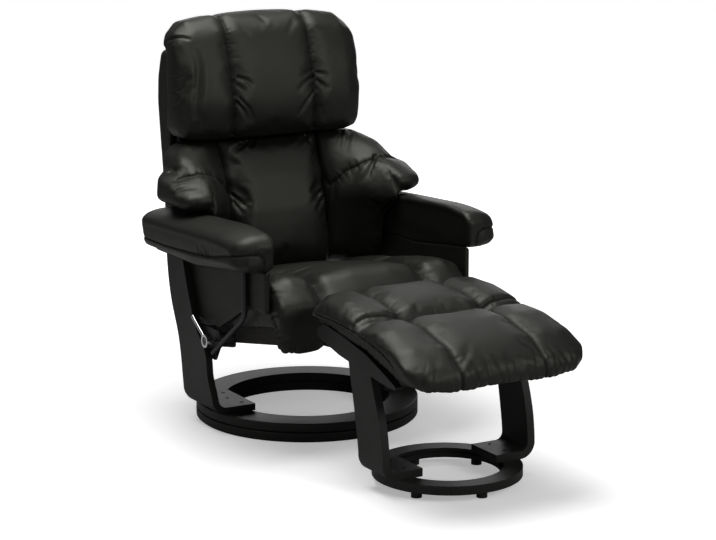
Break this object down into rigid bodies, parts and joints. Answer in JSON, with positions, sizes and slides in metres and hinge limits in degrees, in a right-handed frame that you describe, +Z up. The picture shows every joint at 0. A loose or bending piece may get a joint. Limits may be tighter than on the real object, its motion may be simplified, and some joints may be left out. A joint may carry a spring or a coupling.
{
  "type": "recliner with footstool",
  "caption": "Swivel recliner in padded leather on bent wooden legs and a floor ring, with an arm-side recline lever and a matching ring-base footstool.",
  "frame": {"origin": "on the floor at the chair's swivel axis", "axes": "+Z up, the sitter faces -Y, +X to the sitter's left"},
  "size_m": [0.746, 1.3226, 1.0278],
  "materials": {
    "leather": "soft fine grain with a low sheen",
    "black_wood": "black satin lacquer",
    "plywood": "plywood stained black",
    "felt": "matte black felt and webbing",
    "black_steel": "black powder coat",
    "steel": "zinc plated",
    "chrome": "bright chrome",
    "black_plastic": "dark moulded plastic",
    "glide_plastic": "black moulded plastic"
  },
  "bodies": {
    "base": {"floor_felt": "felt", "base_ring": "black_wood", "lower_race": "steel", "ball_cage": "steel"},
    "carriage": {"upper_race": "steel", "turn_ring": "black_wood", "leg_left": "black_wood", "leg_right": "black_wood", "leg_screws": "steel", "arm_board_left": "plywood", "arm_board_right": "plywood", "arm_pad_left": "leather", "arm_pad_right": "leather", "arm_panel_left": "leather", "arm_panel_right": "leather", "strut_left": "black_steel", "strut_right": "black_steel", "pivot_bracket_left": "black_steel", "pivot_bracket_right": "black_steel", "bracket_bolts": "steel"},
    "seat": {"seat_cushion": "leather", "seat_rail_left": "plywood", "seat_rail_right": "plywood", "seat_rail_front": "plywood", "seat_rail_rear": "plywood", "dust_cover": "felt", "seat_springs": "steel", "pivot_plate_left": "black_steel", "pivot_plate_right": "black_steel", "pivot_stud_left": "steel", "pivot_stud_right": "steel", "hinge_plate_left": "black_steel", "hinge_plate_right": "black_steel", "hinge_pin_left": "steel", "hinge_pin_right": "steel"},
    "back": {"back_frame": "black_steel", "back_webbing": "felt", "back_shell": "leather", "back_centre": "leather", "back_wing_left": "leather", "back_wing_right": "leather", "headrest": "leather", "hinge_arm_left": "black_steel", "hinge_arm_right": "black_steel"},
    "lever": {"recline_lever": "chrome", "hub_cap": "black_plastic"},
    "stool": {"stool_ring": "black_wood", "stool_glides": "glide_plastic", "stool_leg_left": "black_wood", "stool_leg_right": "black_wood", "stool_leg_screws": "steel", "stool_plate_left": "black_wood", "stool_plate_right": "black_wood", "stool_board": "plywood", "stool_cross_rails": "black_steel", "stool_pad": "leather"}
  },
  "joints": [
    {"name": "swivel", "type": "hinge", "parent": "base", "child": "carriage", "pos_m": [0, 0, 0], "axis": [0, 0, 1], "continuous": true},
    {"name": "seat_tilt", "type": "hinge", "parent": "carriage", "child": "seat", "pos_m": [0, -0.057, 0.244], "axis": [-1, 0, 0], "range_deg": [0, 4]},
    {"name": "back_recline", "type": "hinge", "parent": "seat", "child": "back", "pos_m": [0, 0.19, 0.288], "axis": [-1, 0, 0], "range_deg": [0, 20]},
    {"name": "lock_lever", "type": "hinge", "parent": "carriage", "child": "lever", "pos_m": [-0.3195, -0.057, 0.244], "axis": [1, 0, 0], "range_deg": [-20, 40]},
    {"name": "stool_slide", "type": "slide", "parent": "carriage", "child": "stool", "axis": [0, -1, 0], "range_m": [0, 0.5]}
  ],
  "couplings": [
    {"joint": "seat_tilt", "follows": "back_recline", "ratio": 0.2}
  ]
}
